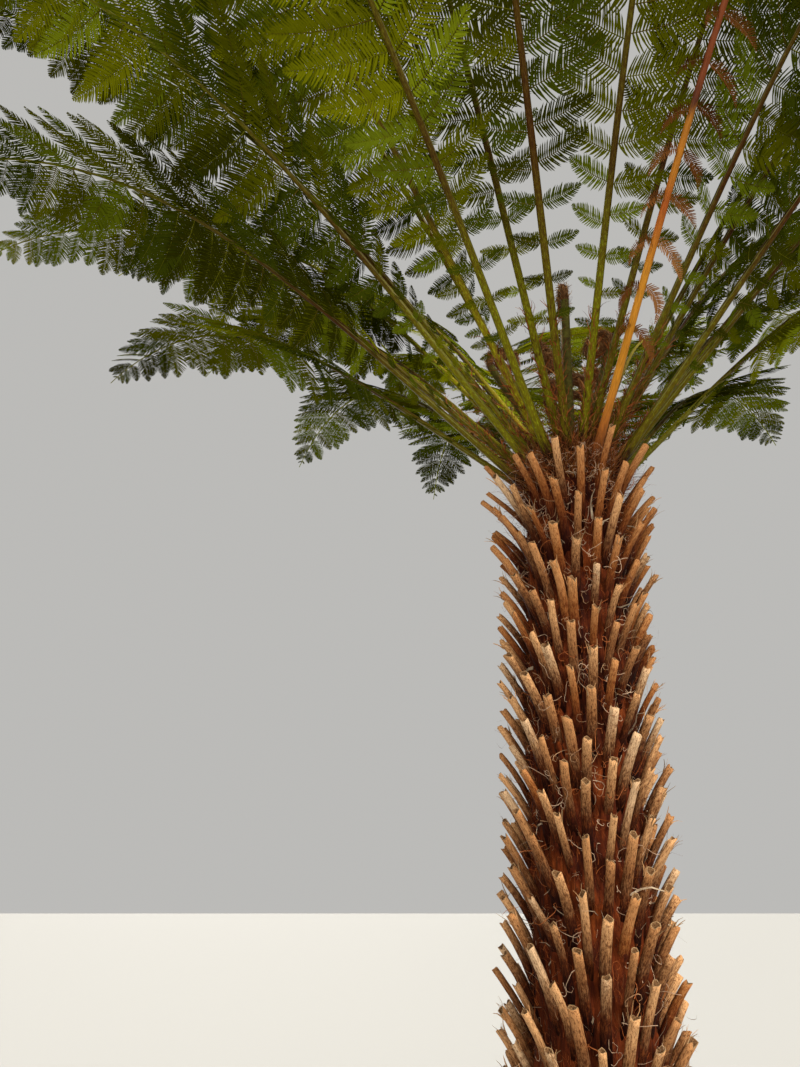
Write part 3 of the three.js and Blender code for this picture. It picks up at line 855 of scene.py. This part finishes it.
def segment_outline():
    """One leaf segment in its own outline, as (along, across, up) in shares of its length and half width.

    A blade from its base to its tip, with a notch halfway along each edge and two teeth on each side. Its
    edges slope down, the teeth more so.
    """
    notch = np.array([0, 0.5])
    inner = np.array([0.56, 0.65])
    tooth = np.array([0.31, 0.81])
    outer = np.interp(tooth, [0.2, 0.54, 0.87], [1.0, 0.92, 0.48])
    notches = np.stack([notch, inner, -0.15 * inner], axis=-1)
    teeth = np.stack([tooth, outer, -0.34 * outer], axis=-1)
    mirror = [1, -1, 1]
    points = np.concatenate([[[1, 0, -0.05]], notches, notches * mirror, teeth, teeth * mirror])
    return points, np.array([[1, 2, 5], [2, 0, 6], [4, 3, 7], [0, 4, 8], [3, 4, 2], [3, 2, 1], [4, 0, 2]])


def segment_points(rows, chance, longest, curl, half_width):
    """Leaf segments in two combs along each leaflet's midrib, their faces, and the leaflet of each.

    Their number goes with the root of the leaflet's length. Their length goes with a power of it, at most a
    share of it, and shrinks towards the tip. Half their width is a share of the space of each, a little
    more on small leaflets. Each leans towards the tip, more so near it, is rolled a little about its own
    length, and curls down and forwards by the square of the way along it.
    """
    relative = rows["length"] / LEAFLET_LENGTH
    number = np.clip(np.round(SEGMENTS_MOST * np.sqrt(relative)), SEGMENTS_LEAST, SEGMENTS_MOST)[:, None]
    leaflet, step = np.nonzero(np.arange(SEGMENTS_MOST) < number)
    space = number[leaflet] + 0.55
    share = (step[:, None] + 0.75) / space
    first, last = rows["first"][leaflet], rows["last"][leaflet]
    reach = rows["length"][leaflet][:, None]
    root = rows["root"][leaflet] + reach * bent(first, last, share)
    course = unit(first + share * (last - first))
    level = unit(np.cross(course, rows["upper"][leaflet]))
    face = np.cross(level, course)
    twist = chance.normal(0, 10 * DEGREE, len(relative))[leaflet][:, None]
    level, face = level * np.cos(twist) + face * np.sin(twist), face * np.cos(twist) - level * np.sin(twist)
    outline = np.minimum((1 - share) / 0.55, 1) ** 0.72 * np.interp(share, [0, 0.12], [0.72, 1])
    size = np.minimum(longest * relative ** 0.42, 0.28 * rows["length"])[leaflet][:, None] * outline
    small = SMALL_LEAFLET_EXTRA * (1 - relative[leaflet][:, None])
    half = (reach / space * (half_width + small))[:, None]
    shape, faces = segment_outline()
    out, aside, lift = shape.T[:, None, :, None]
    sides = []
    for hand in (-1, 1):
        lean = (74 - 26 * share) * DEGREE + chance.normal(0, 3 * DEGREE, share.shape)
        long_ = (size * (1 + chance.uniform(-0.08, 0.08, share.shape)))[:, None]
        way = unit(level * hand * np.sin(lean) + course * np.cos(lean) - face * (0.1 + curl))
        crown = unit(face - (face * way).sum(axis=-1, keepdims=True) * way)
        roll = chance.normal(0, SEGMENT_ROLL, share.shape)
        crown = crown * np.cos(roll) + np.cross(crown, way) * np.sin(roll)
        across = np.cross(crown, way)[:, None]
        rise = lift * half - out ** 2 * (long_ * (0.1 + curl))
        hook = out ** 2 * (long_ * 0.13) * course[:, None]
        blade = out * long_ * way[:, None] + aside * half * across + rise * crown[:, None]
        sides.append(root[:, None] + blade + hook)
    return np.concatenate(sides), faces, np.tile(leaflet, 2)


def comb_piece(name, nodes, combs, tone, materials):
    """One piece of leaf segments, each in the plain colour of its leaflet."""
    points, shape, leaflet = combs
    faces = (shape + (np.arange(len(points)) * points.shape[1])[:, None, None]).reshape(-1, 3)
    make_piece(name, nodes, [(points, [(faces, np.repeat(tone[leaflet], len(shape)), 0)])], materials)


def living_fronds(leaves):
    """Ribs with midribs in one piece, and leaflets in a few pieces of whole fronds."""
    chance = np.random.default_rng(41)
    count = len(leaves["index"])
    names = np.array([f"frond_{index + 1:02d}" for index in leaves["index"]])
    rows = leaflets(leaves, chance, FINE_PAIRS, 1.0, 0.0, start=(3, 6), end=(21, -8))
    ribs, outward = rib_shell(leaves)
    midribs = midrib_shell(flattened(rows))
    shift = chance.uniform(0, 40, (count, 2))
    green = chance.integers(0, 3, (count, 1, 1))
    flank = np.isin(np.arange(len(RIB_SECTION)), RIB_FLANKS) & (np.arange(RIB_RINGS - 1) > 4)[:, None]
    thin = chance.integers(4, 6, (len(midribs), 1, 1))
    parts = [tubes(ribs, np.where(flank, 3, green), 1, 10.0, shift), tubes(midribs, thin, 4)]
    make_piece("frond_ribs", names, parts, rib_finishes(), outward)

    materials = greens()
    # Painted light: a level from painted shade to painted sun for each frond, lighter on the inner fronds.
    painted_light = 1.2 + scatter(leaves["index"], TONE_CHANNEL) * 2.4 + 2.0 * (1 - leaves["share"])
    way = np.repeat(np.arange(FINE_PAIRS) / FINE_PAIRS, 2)
    for part, members in enumerate(np.array_split(np.arange(count), LEAFLET_PIECES)):
        own = flattened(pick(rows, members))
        combs = segment_points(own, chance, SEGMENT_LENGTH, 0.0, SEGMENT_HALF_WIDTH)
        phase = chance.uniform(0, TURN, (len(members), 1))
        # Painted sun and shade in slow waves along each frond.
        painted_sun = 1.3 * np.sin(phase + way * 9) + 0.6 * np.sin(phase * 3 + way * 23)
        shade = (painted_light[members, None] + painted_sun).ravel() + chance.normal(0, 0.4, painted_sun.size)
        tone = np.clip(shade, 0, len(materials) - 1).astype(int)
        comb_piece(f"leaflets_{part + 1}", names[members], combs, tone, materials)


def greens():
    """Plain greens of the leaflets, from painted shade to painted sun, by turns more yellow and greener."""
    colours = [(0.026, 0.028, 0.001), (0.036, 0.046, 0.002), (0.066, 0.07, 0.001), (0.084, 0.106, 0.004),
               (0.132, 0.14, 0.002), (0.154, 0.188, 0.006), (0.208, 0.22, 0.004), (0.23, 0.262, 0.01)]
    return [leafy(f"leaf_green_painted_light_{i + 1}", colour) for i, colour in enumerate(colours)]


def rib_finishes():
    """Shades of the ribs: scaly brown, a green, then darker; a pale flank line; and two of the midribs."""
    def shaded(name, green, far):
        """From the scaly base through the green to the far part.

        The far part's darker colour is partly its own browner tone and partly painted shade.
        """
        stops = [(0.004, (0.03, 0.01, 0.004)), (0.016, (0.06, 0.034, 0.006)), (0.034, green), (0.15, green),
                 (0.3, far), (0.9, green)]
        return along_part(name, stops, spread=0.09, roughness=0.55, relief=0.3, grain=0.5, gloss=0.06,
                          specks=(0.5, 0.34, 0.22))

    line = [(0.03, (0.05, 0.03, 0.01)), (0.07, (0.12, 0.12, 0.02)), (0.9, (0.08, 0.07, 0.02))]
    thin = {"roughness": 0.7, "relief": 0.1, "gloss": 0.02}
    return [
        shaded("rib_green", (0.225, 0.262, 0.006), (0.088, 0.056, 0.004)),
        shaded("rib_yellow", (0.4, 0.42, 0.014), (0.13, 0.094, 0.005)),
        shaded("rib_olive", (0.17, 0.172, 0.006), (0.082, 0.036, 0.004)),
        along_part("rib_line", line, spread=0.05, roughness=0.6, relief=0.2, grain=0.8),
        streaked("midrib_green", (0.07, 0.072, 0.003), (0.115, 0.115, 0.005), (0.165, 0.16, 0.008), **thin),
        streaked("midrib_brown", (0.05, 0.032, 0.003), (0.09, 0.062, 0.006), (0.135, 0.1, 0.011), **thin),
    ]


def dead_frond(leaves):
    """The dry frond: an orange rib with small withered leaflets that hang back along it."""
    chance = np.random.default_rng(43)
    ribs, outward = rib_shell(leaves)
    rows = flattened(leaflets(leaves, chance, DEAD_PAIRS, 0.36, 0.15, start=(10, 35), end=(30, 92)))
    rows["last"] = unit(rows["last"] - 0.25 * UP + chance.normal(0, 0.25, rows["last"].shape))
    stops = [(0.01, (0.12, 0.03, 0.005)), (0.04, (0.34, 0.105, 0.012)), (0.09, (0.5, 0.2, 0.012)),
             (0.19, (0.5, 0.205, 0.014)), (0.255, (0.34, 0.072, 0.008)), (0.285, (0.42, 0.15, 0.01)),
             (0.33, (0.38, 0.14, 0.012)), (0.347, (0.07, 0.016, 0.005)), (0.37, (0.2, 0.046, 0.01)),
             (0.9, (0.18, 0.052, 0.016))]
    materials = [
        along_part("dead_rib_orange", stops, spread=0.03, roughness=0.5, relief=0.3, grain=0.5, gloss=0.15),
        streaked("dead_midrib", (0.08, 0.026, 0.009), (0.17, 0.064, 0.022), (0.31, 0.135, 0.05), 0.6, 0.3,
                 0.1),
    ]
    parts = [tubes(ribs, 0, 1, 10.0), tubes(midrib_shell(rows), 1, 1)]
    make_piece("dead_rib", ["dead_frond"], parts, materials, outward)

    combs = segment_points(rows, chance, DEAD_SEGMENT_LENGTH, 0.2, DEAD_SEGMENT_HALF_WIDTH)
    tone = chance.integers(0, 4, len(rows["length"]))
    colours = [(0.046, 0.015, 0.004), (0.085, 0.029, 0.007), (0.135, 0.05, 0.013), (0.23, 0.1, 0.032)]
    materials = [leafy(f"dead_leaf_{i + 1}", colour, 0.75) for i, colour in enumerate(colours)]
    comb_piece("dead_leaflets", ["dead_frond"], combs, tone, materials)


# Coiled young fronds

def crozier_course(leaves, share):
    """Centre line of each coiled frond at shares of its length, and its directions.

    A straight stalk takes the first half. Then comes a coil whose radius shrinks evenly with its angle.
    """
    along, side, upper = (v[:, None] for v in heading(leaves["azimuth"], leaves["tilt"]))
    stalk = CROZIER_LEAST_HEIGHT + CROZIER_EXTRA_HEIGHT * leaves["share"]
    stalk = (stalk * varied_length(leaves))[:, None, None]
    straight = np.clip(2 * share, 0, 1)[:, None]
    turned = np.clip(2 * share - 1, 0, 1)[:, None]
    angle = COIL_TURN * turned
    radius = COIL_RADIUS + (COIL_INNER_RADIUS - COIL_RADIUS) * turned
    rising = leaves["seat"][:, None] + along * (stalk * straight - 0.05 * (1 - straight))
    over = upper * np.cos(angle) - along * np.sin(angle)
    points = rising + upper * COIL_RADIUS - over * radius
    return points, np.broadcast_to(side, points.shape), over


def croziers(leaves):
    """Coiled young fronds: tapering tubes along their course, with slight swellings.

    Scales stand on all of it: short ribbons that lean towards its tip.
    """
    chance = np.random.default_rng(47)
    count = len(leaves["index"])
    share = np.append(np.linspace(0, 0.48, STALK_RINGS), np.linspace(0.5, 1, COIL_RINGS))
    centres, side, over = crozier_course(leaves, share)
    coiled = np.clip(2 * share - 1, 0, 1)
    width = CROZIER_WIDTH * (1 - 0.5 * coiled ** 2) * (1 + 0.04 * np.sin(share * 190))
    points = tube_points(centres, side, over, width, width, ring_of(COIL_CORNERS))

    each = (count, SCALES_EACH, 1)
    rings = len(share) - 1
    step = np.clip((chance.uniform(0.03, 1, each[:2]) * rings).astype(int), 0, rings - 1)
    which = np.arange(count)[:, None]
    here, there = centres[which, step], centres[which, step + 1]
    angle = chance.uniform(0, TURN, each)
    out = side[which, step] * np.cos(angle) + over[which, step] * np.sin(angle)
    root = here + out * width[step][..., None] * 0.46 + (there - here) * chance.random(each)
    course = unit(there - here)
    first = unit(out * 0.8 + course + chance.normal(0, 0.25, root.shape))
    last = unit(out * 0.3 + course * 0.9 + chance.normal(0, 0.5, root.shape))
    root, first, last = (v.reshape(-1, 3) for v in (root, first, last))
    length = chance.uniform(0.012, 0.03, step.size)
    scale_width = chance.uniform(0.0012, 0.003, step.size)
    scales = strands(root, first, last, length, scale_width, SCALE_STEPS, chance, 0.1)
    common = chance.random(step.size) < 0.68
    tone = np.where(step.ravel() < STALK_RINGS, np.where(common, 3, 2), np.where(common, 2, 4))
    skin = [(0.3, (0.03, 0.012, 0.005)), (0.5, (0.08, 0.034, 0.012)), (0.7, (0.17, 0.08, 0.03))]
    stalk = [(0.3, (0.034, 0.024, 0.007)), (0.5, (0.07, 0.062, 0.011)), (0.7, (0.12, 0.112, 0.018))]
    materials = [mottled("coil_skin", skin, 60), mottled("coil_stalk", stalk, 60)]
    materials += fibrous(
        scale_rust=((0.1, 0.034, 0.01), (0.21, 0.084, 0.026)),
        scale_brown=((0.04, 0.015, 0.006), (0.12, 0.05, 0.018)),
        scale_gold=((0.2, 0.1, 0.036), (0.38, 0.22, 0.09)),
    )
    names = [f"crozier_{index - FROND_COUNT + 1}" for index in leaves["index"]]
    parts = [tubes(points, (coiled[1:] == 0)[:, None], 0, 8.0), ribbons(scales, tone)]
    make_piece("coiled_fronds", names, parts, materials)


# Studio

def studio():
    """A pale floor, soft lamps in front and behind, and a pale surround."""
    mesh = bpy.data.meshes.new("floor")
    corners = np.array([(-1, -1, 0), (1, -1, 0), (1, 1, 0), (-1, 1, 0)]) * FLOOR_REACH
    mesh.from_pydata(corners.tolist(), [], [(0, 1, 2, 3)])
    finish = Finish("floor_pale", 0.9, 0.3)
    finish.paint((0.42, 0.42, 0.41, 1))
    mesh.materials.append(finish.material)
    in_scene("floor", mesh)

    world = bpy.data.worlds.new("surround")
    world.use_nodes = True
    light = world.node_tree.nodes["Background"].inputs
    light["Color"].default_value = (1, 0.99, 0.96, 1)
    light["Strength"].default_value = 0.5
    bpy.context.scene.world = world
    bpy.context.scene.view_settings.view_transform = "Standard"

    lamp("key", -48, 42, 12, 5.0, (1, 0.94, 0.84))
    lamp("front", -102, 3, 28, 2.5, (1, 0.96, 0.88))
    lamp("rim", 112, 46, 20, 1.0, (1, 0.97, 0.9))
    lamp("back", 100, 6, 34, 1.2, (1, 0.98, 0.94))


def lamp(name, azimuth, elevation, softness, strength, colour):
    """A distant soft lamp that shines from an azimuth and an elevation, all in degrees."""
    data = bpy.data.lights.new(name, "SUN")
    data.angle = softness * DEGREE
    data.energy = strength
    data.color = colour
    in_scene(name, data).rotation_euler = ((90 - elevation) * DEGREE, 0, (azimuth + 90) * DEGREE)


def camera():
    """The photograph's view: from eye level, close to the trunk, looking up into the crown."""
    data = bpy.data.cameras.new("camera")
    data.sensor_width = 36
    data.lens = 740 / 1067 * 36
    data.clip_end = 300
    view = in_scene("camera", data)
    view.location = (-0.39, -2.11, 1.55)
    view.rotation_euler = ((90 + 25.75) * DEGREE, 0, 0)
    bpy.context.scene.camera = view


camera()
studio()
mantle()
foot_roots()
leaf_bases()
fibres()
curls()
crown = crown_leaf(np.arange(CROWN_LEAVES))
is_frond = crown["index"] < FROND_COUNT
is_dead = crown["index"] == DEAD_FROND
living = pick(crown, is_frond & ~is_dead)
wool(living)
living_fronds(living)
dead_frond(pick(crown, is_dead))
croziers(pick(crown, ~is_frond))
